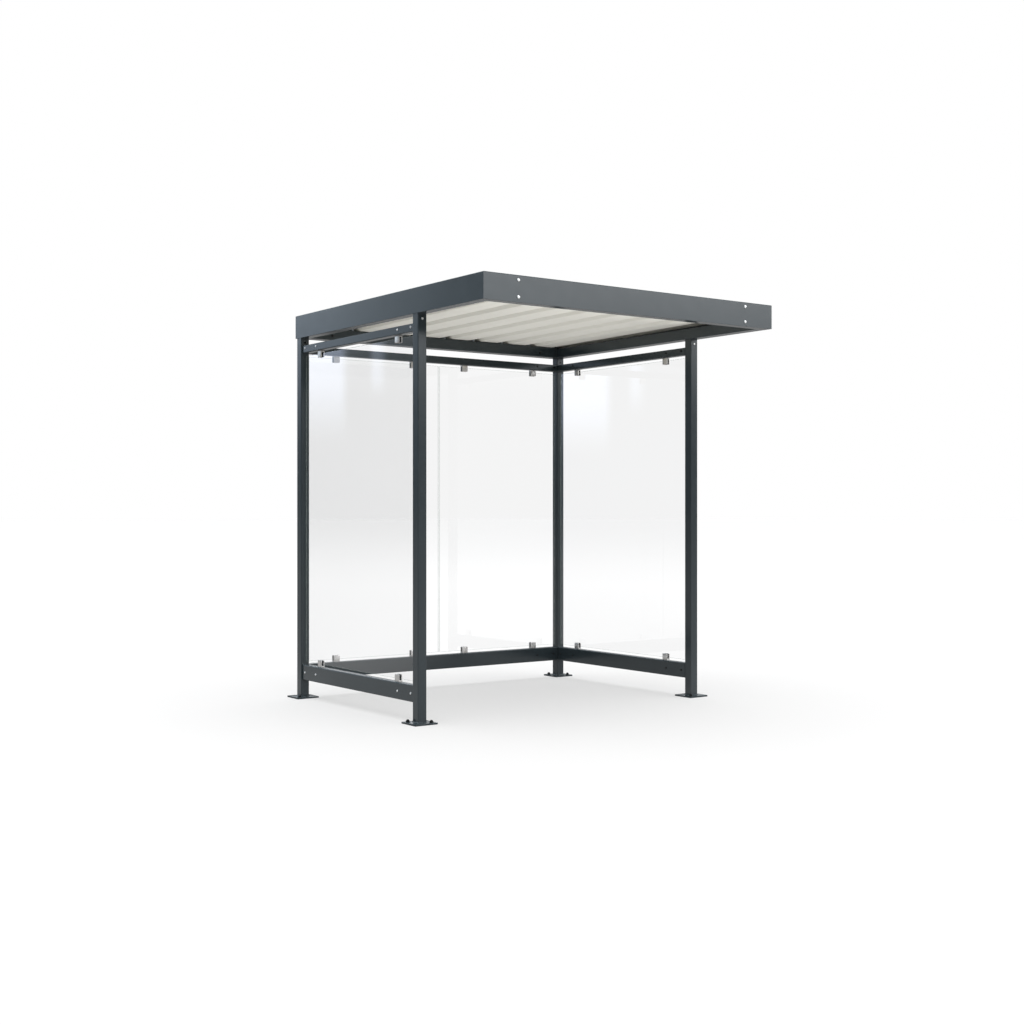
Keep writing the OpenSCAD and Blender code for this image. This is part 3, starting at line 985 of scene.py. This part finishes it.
# strength, degrees across, place and the point that it is aimed at
OVERHEAD = (2.8, 70, (-0.3, -0.3, 8), (0, 0, 0))
SHEET_FROM_ABOVE = (1.1, 12, (-7, -3.5, 5), (0, 0, 0))
RIBS_FROM_BELOW = (1.0, 20, (2.6, -0.3, 0), (0, 0, 2.45))
# power, diameter, degrees of spread, place and aim of the panel on the floor
FLOOR_PANEL = (38, 4.0, 120, (-0.2, 0.2, 0.02), (-0.2, 0.2, 3))


def link_group(name, piece, state):
    """A light linking group of one piece."""
    group = bpy.data.collections.new(name)
    group.objects.link(bpy.data.objects[piece])
    group.collection_objects[0].light_linking.link_state = state
    return group


def hang_lamp(lamp, place, aim, only_sheet):
    """Puts a lamp at a place, aimed at a point. It lights only the pale roof sheet, or all but it."""
    holder = new_object(lamp.name, lamp)
    holder.location = place
    holder.rotation_euler = (Vector(aim) - Vector(place)).to_track_quat("-Z", "Y").to_euler()
    state = "INCLUDE" if only_sheet else "EXCLUDE"
    holder.light_linking.receiver_collection = link_group(lamp.name + "_lights", "ribbed_roof_sheet", state)
    return holder


def hang_sun(name, settings, only_sheet=True):
    """A distant lamp. The more degrees it is across, the softer its shadows are."""
    strength, across, place, aim = settings
    lamp = bpy.data.lights.new(name, "SUN")
    lamp.energy = strength
    lamp.angle = math.radians(across)
    return hang_lamp(lamp, place, aim, only_sheet)


def overhead_lights():
    """A wide soft light from above, that shades the floor under the roof. The pale roof sheet has a
    dimmer one of its own, aslant, so that its ribs show."""
    hang_sun("overhead", OVERHEAD, only_sheet=False)
    hang_sun("roof_light", SHEET_FROM_ABOVE)


def ceiling_light():
    """A wide panel on the floor that lights the roof sheet straight from below."""
    power, across, spread, place, aim = FLOOR_PANEL
    lamp = bpy.data.lights.new("ceiling", "AREA")
    lamp.shape = "DISK"
    lamp.size = across
    lamp.spread = math.radians(spread)
    lamp.energy = power
    holder = hang_lamp(lamp, place, aim, only_sheet=True)
    holder.visible_camera = holder.visible_glossy = holder.visible_transmission = False


def rib_light():
    """A slanted light from below the right side, that the floor lets through. It leaves the left
    flanks of the ribs darker than the pans."""
    holder = hang_sun("ribs", RIBS_FROM_BELOW)
    holder.light_linking.blocker_collection = link_group("rib_light_shadows", "floor", "EXCLUDE")


# ---------------------------------------------------------------- stage

class SHELTER_OT_stage(bpy.types.Operator):
    """Lays the pale floor and sets up the soft light and the camera"""
    bl_idname = "shelter.stage"
    bl_label = "Stage"

    def execute(self, context):
        stage = context.scene.shelter_stage
        floor = new_primitive(bpy.ops.mesh.primitive_plane_add, size=stage.floor_size,
                              location=(0, 0, 0))
        floor.name = "floor"
        floor.data.materials.append(pale_floor(stage.floor_colour))
        soft_world()
        overhead_lights()
        ceiling_light()
        rib_light()
        eye = bpy.data.cameras.new("front_left_view")
        eye.lens = stage.lens
        eye.sensor_width = stage.sensor
        camera = new_object("front_left_view", eye)
        camera.location = stage.eye
        camera.rotation_euler = (math.pi / 2, 0, -stage.heading)
        context.scene.camera = camera
        context.scene.view_settings.view_transform = "Standard"
        return {"FINISHED"}


# ---------------------------------------------------------------- add-on

STEPS = (
    SHELTER_OT_coat_steelwork, SHELTER_OT_base_plates, SHELTER_OT_foot_welds, SHELTER_OT_anchor_nuts,
    SHELTER_OT_rail_screws, SHELTER_OT_post_screws, SHELTER_OT_fascia_bolts, SHELTER_OT_roof_sheet,
    SHELTER_OT_sheet_screws, SHELTER_OT_glass_panes, SHELTER_OT_glass_clamps, SHELTER_OT_clamp_screws,
    SHELTER_OT_stage,
)
SETTINGS = (
    ("shelter_steel", SteelSettings), ("shelter_fixings", FixingSettings), ("shelter_roof", RoofSettings),
    ("shelter_glass", GlassSettings), ("shelter_stage", StageSettings),
)


class SHELTER_PT_panel(bpy.types.Panel):
    """Lists the steps that finish the shelter"""
    bl_idname = "SHELTER_PT_panel"
    bl_label = "Smoking shelter"
    bl_space_type = "VIEW_3D"
    bl_region_type = "UI"
    bl_category = "Shelter"

    def draw(self, context):
        for step in STEPS:
            self.layout.operator(step.bl_idname)
        for attribute, kind in SETTINGS:
            box = self.layout.box()
            for name in kind.__annotations__:
                box.prop(getattr(context.scene, attribute), name)


def register():
    for attribute, kind in SETTINGS:
        bpy.utils.register_class(kind)
        setattr(bpy.types.Scene, attribute, PointerProperty(type=kind))
    for step in STEPS:
        bpy.utils.register_class(step)
    bpy.utils.register_class(SHELTER_PT_panel)


def unregister():
    bpy.utils.unregister_class(SHELTER_PT_panel)
    for step in reversed(STEPS):
        bpy.utils.unregister_class(step)
    for attribute, kind in reversed(SETTINGS):
        delattr(bpy.types.Scene, attribute)
        bpy.utils.unregister_class(kind)


def main():
    register()
    bpy.ops.shelter.coat_steelwork()
    bpy.ops.shelter.base_plates()
    bpy.ops.shelter.foot_welds()
    bpy.ops.shelter.anchor_nuts()
    bpy.ops.shelter.rail_screws()
    bpy.ops.shelter.post_screws()
    bpy.ops.shelter.fascia_bolts()
    bpy.ops.shelter.roof_sheet()
    bpy.ops.shelter.sheet_screws()
    bpy.ops.shelter.glass_panes()
    bpy.ops.shelter.glass_clamps()
    bpy.ops.shelter.clamp_screws()
    bpy.ops.shelter.stage()


if __name__ == "__main__":
    main()
